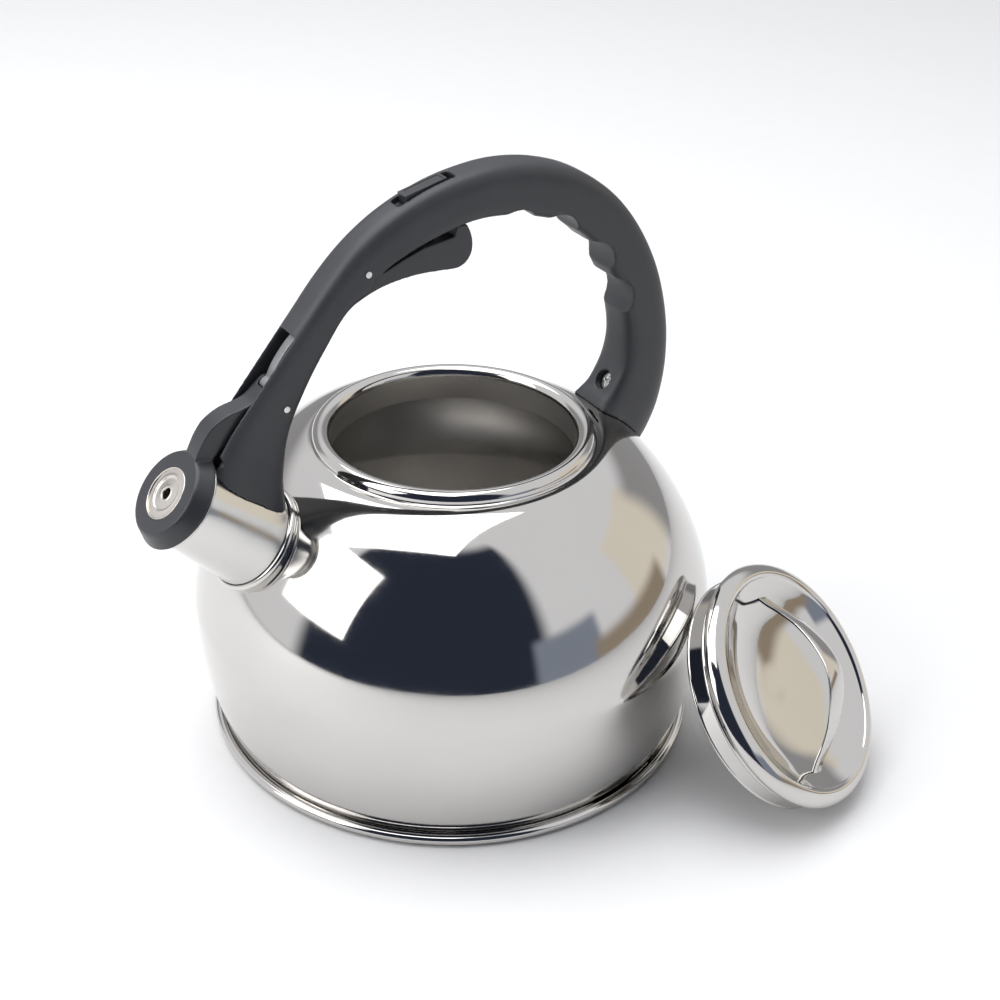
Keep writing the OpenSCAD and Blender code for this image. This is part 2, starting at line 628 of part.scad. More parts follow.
module lid_skirt() {
    color("silver") lid_place() rotate_extrude($fn = 96) difference() {
        union() {
            translate([0, -skirt_depth]) square([skirt_r, skirt_depth - 2.65]);
            translate([skirt_r - bead_r / 2, -skirt_depth]) circle(r = bead_r, $fn = 24);
        }
        translate([-1, -skirt_depth + 0.7]) square([skirt_r + 0.3, skirt_depth]);
        translate([-1, -skirt_depth - 3]) square([skirt_r - 4, 10]);
    }
}
strap_path = [
    [-42.4, 2.4], [-39.6, -0.2], [-36.4, -0.6], [-32.4, 2.2], [-27, 7.6], [-20, 13.6], [-10, 19.2], [0, strap_crown]
];
strap_foot_w = 5.4;
module strap_plan() {
    edge = curve([[-45, strap_foot_w / 2], [-38, strap_foot_w / 2], [-24, strap_w / 2 - 0.8], [0, strap_w / 2]], 6);
    right = [for (p = reversed(edge)) if (p[0] < 0) [-p[0], p[1]]];
    top = concat(edge, right);
    linear_extrude(60, center = true) polygon(concat(top, [for (p = reversed(top)) [p[0], -p[1]]]));
}
module lid_strap() {
    half = curve(concat(strap_path, [for (p = reversed(strap_path)) if (p[0] < 0) [-p[0], p[1]]]), 3);
    color("silver") lid_place() difference() {
        rotate([0, 0, 180 - 26]) intersection() {
            slab(strap_w) polygon(concat(half, reversed(shift(half, 1))));
            strap_plan();
        }
        rotate_extrude($fn = 96)
            polygon(concat([for (p = shift(lid_top, -touch)) [max(0, p[0]), p[1]]], [[skirt_r, -20], [0, -20]]));
    }
}

body_shell();
base_pan();
heat_disc();
disc_cover();
spout_tube();
spout_collar();
front_bracket();
rear_bracket();
handle();
front_screw();
rear_screw();
trigger();
trigger_pin();
trigger_spring();
link_rod();
link_pin();
cap_lever();
crank_pin();
lever_pin();
whistle_cup();
whistle_face();
whistle_reed();
cap_seal();
thumb_slide();
slide_spring();
lid_shell();
lid_skirt();
lid_strap();
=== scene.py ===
import math

import bmesh
import bpy
from mathutils import Matrix, Vector


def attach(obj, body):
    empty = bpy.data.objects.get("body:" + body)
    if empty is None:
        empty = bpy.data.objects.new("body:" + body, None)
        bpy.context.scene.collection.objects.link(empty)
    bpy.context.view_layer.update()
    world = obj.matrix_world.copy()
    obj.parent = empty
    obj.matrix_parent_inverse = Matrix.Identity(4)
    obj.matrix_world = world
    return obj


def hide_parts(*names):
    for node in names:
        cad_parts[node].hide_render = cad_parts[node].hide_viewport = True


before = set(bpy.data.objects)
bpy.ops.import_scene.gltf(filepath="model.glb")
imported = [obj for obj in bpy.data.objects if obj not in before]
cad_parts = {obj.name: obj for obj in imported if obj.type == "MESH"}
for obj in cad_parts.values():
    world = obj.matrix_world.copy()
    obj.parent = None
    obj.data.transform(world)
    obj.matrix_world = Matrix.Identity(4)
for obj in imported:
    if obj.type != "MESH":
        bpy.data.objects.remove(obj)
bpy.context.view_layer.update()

scene = bpy.context.scene
scene.view_settings.view_transform = "Standard"
mm = 0.001


def curveThrough(points, steps):
    # smooth curve through points of any number of values, steps to each span
    made = []
    last = len(points) - 1
    for i in range(last):
        a, b, c, d = points[max(i - 1, 0)], points[i], points[i + 1], points[min(i + 2, last)]
        for k in range(steps):
            t = k / steps
            made.append(tuple(
                0.5 * (2 * q + t * (r - p) + t * t * (2 * p - 5 * q + 4 * r - s)
                       + t ** 3 * (3 * q - p - 3 * r + s))
                for p, q, r, s in zip(a, b, c, d)))
    made.append(tuple(points[last]))
    return made


def arcPoints(centre, radius, start, end, steps):
    return [(centre[0] + radius * math.cos(math.radians(start + (end - start) * i / steps)),
             centre[1] + radius * math.sin(math.radians(start + (end - start) * i / steps)))
            for i in range(steps + 1)]


def shifted(path, distance):
    # the path moved sideways, to the right of its direction
    made = []
    for i, p in enumerate(path):
        a, b = path[max(i - 1, 0)], path[min(i + 1, len(path) - 1)]
        dx, dz = b[0] - a[0], b[1] - a[1]
        length = math.hypot(dx, dz)
        made.append((p[0] + distance * dz / length, p[1] - distance * dx / length))
    return made


def newPiece(name, bm, smoothAngle=35):
    bmesh.ops.recalc_face_normals(bm, faces=bm.faces)
    mesh = bpy.data.meshes.new(name)
    bm.to_mesh(mesh)
    bm.free()
    piece = bpy.data.objects.new(name, mesh)
    scene.collection.objects.link(piece)
    smoothShade(piece, smoothAngle)
    return piece


def smoothShade(piece, angle=35):
    piece.data.polygons.foreach_set("use_smooth", [True] * len(piece.data.polygons))
    piece.data.set_sharp_from_angle(angle=math.radians(angle))


def lathe(name, profile, segments=192, smoothAngle=35):
    # profile of (radius, height) in mm, closed into a solid ring; a radius of 0 makes a pole
    bm = bmesh.new()
    rings = []
    for r, z in profile:
        if r < 1e-6:
            rings.append([bm.verts.new((0, 0, z * mm))])
            continue
        rings.append([bm.verts.new((r * mm * math.cos(2 * math.pi * k / segments),
                                    r * mm * math.sin(2 * math.pi * k / segments), z * mm))
                      for k in range(segments)])
    for a, b in zip(rings, rings[1:] + rings[:1]):
        for k in range(segments):
            m = (k + 1) % segments
            if len(a) == 1 and len(b) == 1:
                break
            if len(a) == 1:
                bm.faces.new((a[0], b[m], b[k]))
            elif len(b) == 1:
                bm.faces.new((a[k], a[m], b[0]))
            else:
                bm.faces.new((a[k], a[m], b[m], b[k]))
    return newPiece(name, bm, smoothAngle)


def prism(name, outline, low, high):
    # an XZ outline in mm, extruded from y = low to y = high
    bm = bmesh.new()
    near = [bm.verts.new((x * mm, low * mm, z * mm)) for x, z in outline]
    far = [bm.verts.new((x * mm, high * mm, z * mm)) for x, z in outline]
    bm.faces.new(near)
    bm.faces.new(list(reversed(far)))
    for i in range(len(outline)):
        j = (i + 1) % len(outline)
        bm.faces.new((near[j], near[i], far[i], far[j]))
    bmesh.ops.triangulate(bm, faces=[f for f in bm.faces if len(f.verts) > 4])
    return newPiece(name, bm)


def axisFrame(point, direction):
    # places what was made along +Z on an axis in the XZ plane, in mm
    turn = Matrix.Rotation(math.atan2(direction[0], direction[1]), 4, "Y")
    return Matrix.Translation(Vector((point[0], 0, point[1])) * mm) @ turn


def crossFrame(point):
    return Matrix.Translation(Vector((point[0], 0, point[1])) * mm) @ Matrix.Rotation(math.pi / 2, 4, "X")


def applyModifiers(piece):
    bpy.context.view_layer.update()
    graph = bpy.context.evaluated_depsgraph_get()
    mesh = bpy.data.meshes.new_from_object(piece.evaluated_get(graph))
    old = piece.data
    piece.modifiers.clear()
    piece.data = mesh
    mesh.name = piece.name
    bpy.data.meshes.remove(old)


def cutWith(piece, cutters, solver="MANIFOLD"):
    for cutter in cutters:
        mod = piece.modifiers.new("cut", "BOOLEAN")
        mod.operation = "DIFFERENCE"
        mod.solver = solver
        mod.object = cutter
    applyModifiers(piece)
    for cutter in cutters:
        mesh = cutter.data
        bpy.data.objects.remove(cutter)
        bpy.data.meshes.remove(mesh)


def soften(piece, voxel, rounds, share=0.5, smoothAngle=60):
    # an even skin over the whole piece, then its edges relaxed to a moulded radius
    remesh = piece.modifiers.new("skin", "REMESH")
    remesh.mode = "VOXEL"
    remesh.voxel_size = voxel * mm
    relax = piece.modifiers.new("relax", "SMOOTH")
    relax.factor = share
    relax.iterations = rounds
    applyModifiers(piece)
    smoothShade(piece, smoothAngle)


def copyOf(node, name):
    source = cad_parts[node]
    piece = bpy.data.objects.new(name, source.data.copy())
    scene.collection.objects.link(piece)
    bm = bmesh.new()
    bm.from_mesh(piece.data)
    bmesh.ops.remove_doubles(bm, verts=bm.verts, dist=1e-6)
    bm.to_mesh(piece.data)
    bm.free()
    return piece


def settle(piece):
    # the place goes into the mesh, and the finish keeps the coordinates that the piece was made in
    made = piece.data.attributes.new("madeAt", "FLOAT_VECTOR", "POINT")
    places = [0.0] * (3 * len(piece.data.vertices))
    piece.data.vertices.foreach_get("co", places)
    made.data.foreach_set("vector", places)
    piece.data.transform(piece.matrix_world)
    piece.matrix_world = Matrix.Identity(4)


def finishPiece(piece, body, material, slotName, *nodes):
    settle(piece)
    piece.data.materials.clear()
    piece.data.materials.append(material)
    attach(piece, body)
    if nodes:
        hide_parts(*nodes)
    return piece


class Nodes:
    # a short way to write a node tree
    def __init__(self, name):
        self.material = bpy.data.materials.new(name)
        self.material.use_nodes = True
        self.tree = self.material.node_tree
        self.shader = self.tree.nodes["Principled BSDF"]

    def add(self, kind, **values):
        node = self.tree.nodes.new("ShaderNode" + kind)
        for key, value in values.items():
            setattr(node, key, value)
        return node

    def join(self, source, target):
        self.tree.links.new(source, target)

    def coords(self, scale=(1, 1, 1)):
        place = self.add("TexCoord")
        mapping = self.add("Mapping")
        mapping.inputs["Scale"].default_value = scale
        self.join(place.outputs["Object"], mapping.inputs["Vector"])
        return mapping.outputs["Vector"]

    def noise(self, vector, scale, detail=3, roughness=0.55):
        node = self.add("TexNoise")
        node.inputs["Scale"].default_value = scale
        node.inputs["Detail"].default_value = detail
        node.inputs["Roughness"].default_value = roughness
        self.join(vector, node.inputs["Vector"])
        return node.outputs["Fac"]

    def range(self, value, low, high, fromLow=0.3, fromHigh=0.7):
        node = self.add("MapRange")
        node.inputs["From Min"].default_value = fromLow
        node.inputs["From Max"].default_value = fromHigh
        node.inputs["To Min"].default_value = low
        node.inputs["To Max"].default_value = high
        self.join(value, node.inputs["Value"])
        return node.outputs["Result"]

    def math(self, operation, a, b=None):
        node = self.add("Math", operation=operation)
        for socket, value in zip(node.inputs, (a, b)):
            if value is None:
                continue
            if isinstance(value, (int, float)):
                socket.default_value = value
            else:
                self.join(value, socket)
        return node.outputs[0]

    def mixColour(self, factor, first, second):
        node = self.add("Mix", data_type="RGBA")
        self.join(factor, node.inputs["Factor"])
        node.inputs["A"].default_value = (*first, 1)
        node.inputs["B"].default_value = (*second, 1)
        return node.outputs["Result"]

    def ringCoords(self, around=0.02, along=1.0):
        # distance from the local Z axis and height, so that lines run round the piece
        place = self.add("Attribute", attribute_name="madeAt")
        apart = self.add("SeparateXYZ")
        self.join(place.outputs["Vector"], apart.inputs[0])
        x, y, z = apart.outputs
        radius = self.math("SQRT", self.math("ADD", self.math("MULTIPLY", x, x), self.math("MULTIPLY", y, y)))
        turn = self.math("MULTIPLY", self.math("SINE", self.math("ARCTAN2", y, x)), around)
        together = self.add("CombineXYZ")
        self.join(self.math("MULTIPLY", radius, along), together.inputs["X"])
        self.join(turn, together.inputs["Y"])
        self.join(self.math("MULTIPLY", z, along), together.inputs["Z"])
        return together.outputs["Vector"]

    def bump(self, height, distance, strength=1.0, after=None):
        node = self.add("Bump")
        node.inputs["Distance"].default_value = distance
        node.inputs["Strength"].default_value = strength
        self.join(height, node.inputs["Height"])
        if after is not None:
            self.join(after, node.inputs["Normal"])
        return node.outputs["Normal"]


steelLook = {
    "polished": {"colour": (0.6, 0.585, 0.565), "rough": (0.035, 0.085), "lines": 2600, "depth": 0.0000006},
    "collar": {"colour": (0.62, 0.605, 0.585), "rough": (0.07, 0.14), "lines": 2400, "depth": 0.0000015},
    "satin": {"colour": (0.64, 0.63, 0.61), "rough": (0.12, 0.2), "lines": 3000, "depth": 0.000002},
    # the inside's lighter colour is painted light that brightens the shaded inside of the body; its rougher
    # finish and coarser lines are the real brushed finish
    "inside": {"colour": (0.74, 0.72, 0.69), "rough": (0.3, 0.38), "lines": 1500, "depth": 0.000005},
    "whistle": {"colour": (0.66, 0.62, 0.575), "rough": (0.2, 0.32), "lines": 4200, "depth": 0.000006},
}


def steel(name, look):
    # spun or turned stainless: fine lines round the axis, soft cloudy wear and finger smudges
    kit = Nodes(name)
    kit.shader.inputs["Metallic"].default_value = 1.0
    rings = kit.ringCoords()
    lines = kit.noise(rings, look["lines"], 2, 0.6)
    clouds = kit.noise(kit.coords(), 22, 4, 0.6)
    smudge = kit.noise(kit.coords((1, 1, 2.2)), 75, 5, 0.7)
    low, high = look["rough"]
    cloudy = kit.range(clouds, low, high)
    lined = kit.range(lines, -0.25 * (high - low), 0.25 * (high - low))
    smudged = kit.range(smudge, 0.0, 0.5 * (high - low), 0.5, 0.72)
    total = kit.math("ADD", kit.math("ADD", cloudy, lined), smudged)
    kit.join(total, kit.shader.inputs["Roughness"])
    shade = [c * 0.965 for c in look["colour"]]
    kit.join(kit.mixColour(kit.range(clouds, 0, 1), look["colour"], shade), kit.shader.inputs["Base Color"])
    kit.join(kit.bump(lines, look["depth"]), kit.shader.inputs["Normal"])
    return kit.material


plasticLook = {
    "handle": {"colour": (0.034, 0.036, 0.041), "worn": (0.044, 0.046, 0.051), "rough": (0.4, 0.5),
               "grain": 1500, "depth": 0.00003},
    "cap": {"colour": (0.028, 0.029, 0.034), "worn": (0.037, 0.038, 0.043), "rough": (0.33, 0.43),
            "grain": 1900, "depth": 0.00002},
}


def plastic(name, look):
    # moulded nylon: fine pebbled grain, slightly shinier where hands rub it
    kit = Nodes(name)
    place = kit.coords()
    grain = kit.noise(place, look["grain"], 2, 0.5)
    pebble = kit.add("TexVoronoi", feature="SMOOTH_F1")
    pebble.inputs["Scale"].default_value = look["grain"] * 0.8
    kit.join(place, pebble.inputs["Vector"])
    clouds = kit.noise(place, 40, 4, 0.6)
    rub = kit.noise(place, 14, 3, 0.5)
    kit.join(kit.mixColour(kit.range(clouds, 0, 1), look["colour"], look["worn"]),
             kit.shader.inputs["Base Color"])
    rough = kit.math("ADD", kit.range(clouds, *look["rough"]), kit.range(rub, -0.05, 0.03))
    kit.join(rough, kit.shader.inputs["Roughness"])
    kit.shader.inputs["IOR"].default_value = 1.5
    first = kit.bump(pebble.outputs["Distance"], look["depth"], 0.55)
    kit.join(kit.bump(grain, look["depth"], 0.6, first), kit.shader.inputs["Normal"])
    return kit.material


def stripSteel(name):
    # dull plated strip with lengthwise drawing marks
    kit = Nodes(name)
    kit.shader.inputs["Metallic"].default_value = 0.85
    marks = kit.noise(kit.coords((0.12, 1, 1)), 2200, 3, 0.6)
    spots = kit.noise(kit.coords(), 160, 4, 0.6)
    kit.join(kit.mixColour(kit.range(spots, 0, 1), (0.36, 0.365, 0.37), (0.28, 0.285, 0.29)),
             kit.shader.inputs["Base Color"])
    kit.join(kit.range(marks, 0.38, 0.52), kit.shader.inputs["Roughness"])
    kit.join(kit.bump(marks, 0.00001), kit.shader.inputs["Normal"])
    return kit.material


def plainMetal(name, colour, rough, scale):
    kit = Nodes(name)
    kit.shader.inputs["Metallic"].default_value = 1.0
    marks = kit.noise(kit.coords(), scale, 4, 0.6)
    kit.join(kit.mixColour(kit.range(marks, 0, 1), colour, [c * 0.85 for c in colour]),
             kit.shader.inputs["Base Color"])
    kit.join(kit.range(marks, *rough), kit.shader.inputs["Roughness"])
    kit.join(kit.bump(marks, 0.00001), kit.shader.inputs["Normal"])
    return kit.material


def rubber(name):
    kit = Nodes(name)
    dust = kit.noise(kit.coords(), 500, 4, 0.6)
    kit.join(kit.mixColour(kit.range(dust, 0, 1), (0.05, 0.05, 0.05), (0.085, 0.085, 0.085)),
             kit.shader.inputs["Base Color"])
    kit.join(kit.range(dust, 0.55, 0.75), kit.shader.inputs["Roughness"])
    kit.join(kit.bump(dust, 0.00002), kit.shader.inputs["Normal"])
    return kit.material


polishedSteel = steel("polishedSteel", steelLook["polished"])
collarSteel = steel("collarSteel", steelLook["collar"])
satinSteel = steel("satinSteel", steelLook["satin"])
insideSteelWithPaintedLight = steel("insideSteelWithPaintedLight", steelLook["inside"])
whistleSteel = steel("whistleSteel", steelLook["whistle"])
handlePlastic = plastic("handlePlastic", plasticLook["handle"])
capPlastic = plastic("capPlastic", plasticLook["cap"])
linkSteel = stripSteel("linkSteel")
pinSteel = plainMetal("pinSteel", (0.7, 0.7, 0.69), (0.2, 0.34), 900)
discAluminium = plainMetal("discAluminium", (0.76, 0.76, 0.76), (0.3, 0.45), 300)
sealRubber = rubber("sealRubber")
print("materials made")


bodyShape = {
    "footRadius": 95.5, "bellyRadius": 104.8, "bellyHeight": 56.9,
    "shoulderRadius": 56.9, "shoulderHeight": 124.4, "fullness": 1.25,
    "sheet": 0.8, "floor": 3.0,
    "mouthRadius": 48.4, "lipRoll": 3.5, "collarDepth": 10,
    "seamRadius": 98.0, "seamRoll": 2.0,
}


def bellySide(shape, lowSteps=40, highSteps=110):
    made = []
    for i in range(lowSteps + 1):
        a = i / lowSteps
        made.append((shape["footRadius"] + (shape["bellyRadius"] - shape["footRadius"]) * (1 - (1 - a) ** 2),
                     shape["floor"] + (shape["bellyHeight"] - shape["floor"]) * a))
    for i in range(1, highSteps + 1):
        a = math.radians(90 * i / highSteps)
        made.append((shape["shoulderRadius"]
                     + (shape["bellyRadius"] - shape["shoulderRadius"]) * math.cos(a) ** shape["fullness"],
                     shape["bellyHeight"]
                     + (shape["shoulderHeight"] - shape["bellyHeight"]) * math.sin(a) ** shape["fullness"]))
    return made


bellyPath = bellySide(bodyShape)
lipCentre = (bodyShape["mouthRadius"] + bodyShape["lipRoll"], bodyShape["shoulderHeight"] + 1)


def bodySolid(grow=0.0):
    # everything inside the outer surface, for cutting what stands on it
    top = bodyShape["shoulderHeight"] + grow
    profile = [(0, bodyShape["floor"])] + shifted(bellyPath, grow)[:-1]
    profile += [(bodyShape["shoulderRadius"], top), (0, top)]
    return lathe("bodySolid", profile, 192)


spoutShape = {
    "tilt": 41.5, "rootX": -85.53, "rootZ": 102.9, "rootRadius": 19.8, "tipRadius": 16.0, "length": 38.2,
    "edgeRadius": 18.8, "edgeThickness": 1.0, "sheet": 0.8, "sink": 6.0,
    "ringRadius": 1.5, "ringHeight": 1.2, "flange": 0.9, "holeRadius": 14.5, "holeReach": 30,
}
spoutDir = (-math.cos(math.radians(spoutShape["tilt"])), math.sin(math.radians(spoutShape["tilt"])))
spoutRoot = (spoutShape["rootX"], spoutShape["rootZ"])
spoutFrame = axisFrame(spoutRoot, spoutDir)


def buildBody():
    s = bodyShape
    sheet = s["sheet"]
    lip = arcPoints(lipCentre, s["lipRoll"], 0, 180, 28)
    lipIn = arcPoints(lipCentre, s["lipRoll"] - sheet, 0, 180, 28)
    bottom = lipCentre[1] - s["collarDepth"]
    outer = bellyPath[:-1] + [(s["shoulderRadius"] - 0.5, s["shoulderHeight"] + 0.05),
                              (lipCentre[0] + s["lipRoll"] + 0.25, s["shoulderHeight"] + 0.35)] + lip
    inner = lipIn[::-1] + shifted(bellyPath, -sheet)[::-1][1:]
    profile = outer + [(s["mouthRadius"], bottom), (s["mouthRadius"] + sheet, bottom)] + inner
    body = lathe("bodyShell", profile, 288, 28)
    wide, long = spoutShape["holeRadius"], spoutShape["holeReach"]
    hole = lathe("spoutHole", [(0, -long), (wide, -long), (wide, long), (0, long)], 96)
    hole.matrix_world = spoutFrame
    cutWith(body, [hole], "EXACT")
    smoothShade(body, 28)
    finishPiece(body, "kettle", polishedSteel, "polished_steel", "body_shell")
    # the inside has its own duller brushed finish, and its lighter colour is painted light that brightens the
    # shaded inside of the body
    body.data.materials.append(insideSteelWithPaintedLight)
    for face in body.data.polygons:
        c = face.center
        radius, height = math.hypot(c.x, c.y) / mm, c.z / mm
        facesIn = face.normal.x * c.x + face.normal.y * c.y < 0 or (face.normal.z > 0.5 and height < 6)
        under = height < lipCentre[1] - 1.5 and radius < lipCentre[0] - s["lipRoll"] + sheet + 0.2
        if (facesIn and height < lipCentre[1] - 0.5 and radius < s["mouthRadius"] + sheet / 2) or under:
            face.material_index = 1
        elif facesIn and height < s["shoulderHeight"] - 0.2:
            face.material_index = 1

    base = lathe("basePan", [(0, s["floor"] - sheet), (s["seamRadius"] - 1, s["floor"] - sheet)]
                 + arcPoints((s["seamRadius"], s["floor"]), s["seamRoll"], -115, 150, 26)
                 + [(s["seamRadius"] - 1.9, s["floor"] - 0.02), (0, s["floor"] - 0.02)], 288, 28)
    finishPiece(base, "kettle", polishedSteel, "polished_steel", "base_pan")
    print("body made")


def buildSpout():
    s = spoutShape
    inner = s["rootRadius"] + 0.02
    tip = s["length"]
    outer = [(s["rootRadius"], -s["sink"]), (s["rootRadius"], 0)]
    outer += [(s["rootRadius"] + (s["tipRadius"] - s["rootRadius"]) * k / 10, tip * k / 10)
              for k in range(1, 10)]
    outer += curveThrough([(s["tipRadius"] + 0.12, tip - 2.2), (s["tipRadius"] + 0.7, tip - 1.25),
                           (s["edgeRadius"] - 0.6, tip - 0.98)], 5)
    roll = s["edgeThickness"] / 2
    outer += arcPoints((s["edgeRadius"] - roll, tip - roll), roll, -90, 90, 10)
    within = [(s["tipRadius"] + 0.2, tip), (s["tipRadius"] - s["sheet"], tip - 0.7),
              (s["rootRadius"] - s["sheet"], 0), (s["rootRadius"] - s["sheet"], -s["sink"])]
    tube = lathe("spoutTube", outer + within, 192, 30)
    tube.matrix_world = spoutFrame
    cutWith(tube, [bodySolid(0.02)])
    smoothShade(tube, 30)
    finishPiece(tube, "kettle", satinSteel, "satin_steel", "spout_tube")

    ring = [(inner, -s["sink"]), (inner + s["flange"], -s["sink"])]
    ring += arcPoints((inner, s["ringHeight"]), s["ringRadius"], -50, 90, 22)
    collar = lathe("spoutCollar", ring, 192, 40)
    collar.matrix_world = spoutFrame
    cutWith(collar, [bodySolid(0.02)])
    smoothShade(collar, 40)
    finishPiece(collar, "kettle", collarSteel, "polished_steel", "spout_collar")
    print("spout made")


handleShape = {
    "width": 9.6,
    "outerRound": 0.6, "innerRound": 0.36,     # 1 is an ellipse, less is squarer
    "ringPoints": 96, "stepsPerSpan": 9,
    # outer x and z, inner x and z, half width added outside, half width added inside
    "stations": [
        (-104.5, 134, -76, 110, 1.6, 3.4), (-101.4, 143.8, -76.5, 121, 0.6, 2.4),
        (-96, 152.8, -76, 133, -0.6, 0.8),
        (-88.5, 162, -72.8, 148.5, -1.4, -0.2), (-77.5, 175, -65.5, 164, -1.6, -0.4),
        (-66, 188.5, -57.5, 177.3, -1.6, -0.2), (-54.5, 202, -48.5, 189.6, -1.6, 0),
        (-43, 213, -37.5, 196, -1.4, 0),
        (-29, 222, -25, 203, -1.2, 0), (-12, 228.8, -9, 211, -1, 0), (5, 232.2, 4, 214, -0.8, 0),
        (20, 232.8, 17, 213.6, -0.6, 0), (36, 230.2, 29.5, 211, -0.4, 0), (52, 224, 43, 206, -0.2, 0),
        (68, 212.5, 55.5, 196.6, 0, 0), (81, 196.8, 65.5, 183.5, 0, 0), (91, 177.5, 72.6, 168, 0, 0),
        (97, 156, 76.2, 151.5, 0, 0), (98.4, 136, 75, 139, 0.2, 0.8), (96, 119, 69.8, 129, 0.6, 1),
        (91.5, 107, 66, 125, 0.4, 2), (87, 99, 62.5, 121, -0.4, 4), (84, 92, 57.5, 114, -1, 5)],
    # x and z of each finger groove, the way its face looks, and its share of the depth
    "grooves": [(23, 213, 0.1, 0.99, 0.62), (43, 206.3, 0.42, 0.91, 0.9), (61.4, 190, 0.75, 0.66, 1.15),
                (72, 171, 0.92, 0.39, 1.3)],
    "grooveRadius": 9.5, "grooveDepth": 3.6,
    "channelHalf": 5.6, "channelTop": 23.2, "channelFloor": -3.7,
    "hollowHalf": 7.5, "rodHalf": 2.5,
    "slotHalf": 3.3, "slotLength": 24.4, "slotDepth": 4.0,
    "screwSeat": (75.2, 128.4), "screwTip": 29, "screwRoom": 4.0,
    "voxel": 0.5, "relax": 5,
}
pinA = (-40.6, 203.1)
pinB = (-74.5, 158.5)
linkA = (pinA[0] + 21.5, pinA[1] - 2)
legAngle = math.radians(50.1)
slideMid = (-13.7, 228.3)
slideTilt = 14


def legPoint(up, out):
    # a point in the front leg's own directions: up along it, and out through its outer face
    return (pinB[0] + up * math.cos(legAngle) - out * math.sin(legAngle),
            pinB[1] + up * math.sin(legAngle) + out * math.cos(legAngle))


def handleSection(row, shape):
    ox, oz, ix, iz, halfOut, halfIn = row
    made = []
    for k in range(shape["ringPoints"]):
        a = 2 * math.pi * k / shape["ringPoints"]
        c, s = math.cos(a), math.sin(a)
        power = shape["outerRound"] if c > 0 else shape["innerRound"]
        v = math.copysign(abs(c) ** power, c)
        w = math.copysign(abs(s) ** power, s)
        half = shape["width"] + halfIn + (halfOut - halfIn) * (v + 1) / 2
        made.append(((ox + ix) / 2 + v * (ox - ix) / 2, w * half, (oz + iz) / 2 + v * (oz - iz) / 2))
    return made


def handleBlank(shape):
    bm = bmesh.new()
    rings = [[bm.verts.new(Vector(p) * mm) for p in handleSection(row, shape)]
             for row in curveThrough(shape["stations"], shape["stepsPerSpan"])]
    n = shape["ringPoints"]
    for a, b in zip(rings, rings[1:]):
        for k in range(n):
            m = (k + 1) % n
            bm.faces.new((a[k], a[m], b[m], b[k]))
    bm.faces.new(rings[0])
    bm.faces.new(rings[-1])
    bmesh.ops.remove_doubles(bm, verts=bm.verts, dist=1e-7)
    bmesh.ops.triangulate(bm, faces=[f for f in bm.faces if len(f.verts) > 4])
    return newPiece("handle", bm, 60)


def cylinderAt(matrix, radius, low, high, segments=64):
    piece = lathe("cutter", [(0, low), (radius, low), (radius, high), (0, high)], segments)
    piece.matrix_world = matrix
    return piece


def buildHandle():
    s = handleShape
    handle = handleBlank(s)
    cutters = []
    for x, z, faceX, faceZ, share in s["grooves"]:
        back = s["grooveRadius"] - s["grooveDepth"] * share
        middle = (x - back * faceX, z - back * faceZ)
        cutters.append(cylinderAt(crossFrame(middle), s["grooveRadius"], -40, 40, 96))
    floor = s["channelFloor"]
    channel = [legPoint(s["channelTop"], 22), legPoint(s["channelTop"], 4.4), legPoint(17, 3.6),
               legPoint(8.6, 1.2), legPoint(6, -0.8), legPoint(2.2, floor), legPoint(-40, floor),
               legPoint(-40, 40)]
    cutters.append(prism("channel", channel, -s["channelHalf"], s["channelHalf"]))
    route = curveThrough([linkA, (-29, 199.8), (-38.5, 197.5), (-47, 193.7), legPoint(34, 5),
                          legPoint(23, 7.8), legPoint(15, 8.2)], 4)[5:]
    tunnel = shifted(route, -2) + shifted(route, 4.4)[::-1]
    cutters.append(prism("tunnel", tunnel, -s["rodHalf"], s["rodHalf"]))
    hollow = [(-56, 180), (-50, 192)] + arcPoints(pinA, 5.4, 175, 105, 8)
    hollow += [(-31, 212.2), (-18, 219.2), (-8, 222.6), (4, 223.6), (4, 200), (-20, 185)]
    cutters.append(prism("hollow", hollow, -s["hollowHalf"], s["hollowHalf"]))
    wallEdge = [(-44.5, 180), (-42.2, 193.6)]
    wallEdge += curveThrough([(-38.6, 199.6), (-33, 203.6), (-26, 207), (-17, 210.4), (-8, 212.6),
                              (4, 213.6)], 4)
    cutters.append(prism("wallEdge", wallEdge + [(10, 180)], -40, 40))
    half = s["slotLength"] / 2
    slot = prism("slot", [(-half, -s["slotDepth"]), (half, -s["slotDepth"]), (half, 16), (-half, 16)],
                 -s["slotHalf"], s["slotHalf"])
    slot.matrix_world = slideFrame
    cutters.append(slot)
    tip = math.radians(s["screwTip"])
    screwFrame = axisFrame(s["screwSeat"], (math.cos(tip), -math.sin(tip)))
    cutters.append(cylinderAt(screwFrame, s["screwRoom"], -12, 0))
    cutters.append(bodySolid(0.06))
    rim = lipCentre[0] + bodyShape["lipRoll"] + 0.6
    rimTop = lipCentre[1] + 4.5
    cutters.append(lathe("rimRoom", [(0, 60), (rim, 60), (rim, rimTop), (0, rimTop)], 192))
    root, end, long = spoutShape["rootRadius"] + 0.04, spoutShape["tipRadius"] + 0.04, spoutShape["length"]
    cone = lathe("spoutRoom", [(0, -30), (root + 0.9, -30), (root + 0.9, 1), (root, 1.02), (end, long),
                               (0, long)], 192)
    cone.matrix_world = spoutFrame
    cutters.append(cone)
    bend = arcPoints((root, 1.2), 1.54, -60, 90, 16)
    ringRoom = lathe("ringRoom", [(root - 1, -1)] + bend + [(root - 1, 2.74)], 192)
    ringRoom.matrix_world = spoutFrame
    cutters.append(ringRoom)
    cutters.append(cylinderAt(spoutFrame, 22.1, long - 1.6, long + 60, 128))
    cutWith(handle, cutters)
    soften(handle, s["voxel"], s["relax"])
    finishPiece(handle, "kettle", handlePlastic, "handle_plastic", "handle")
    print("handle made:", len(handle.data.polygons), "faces")


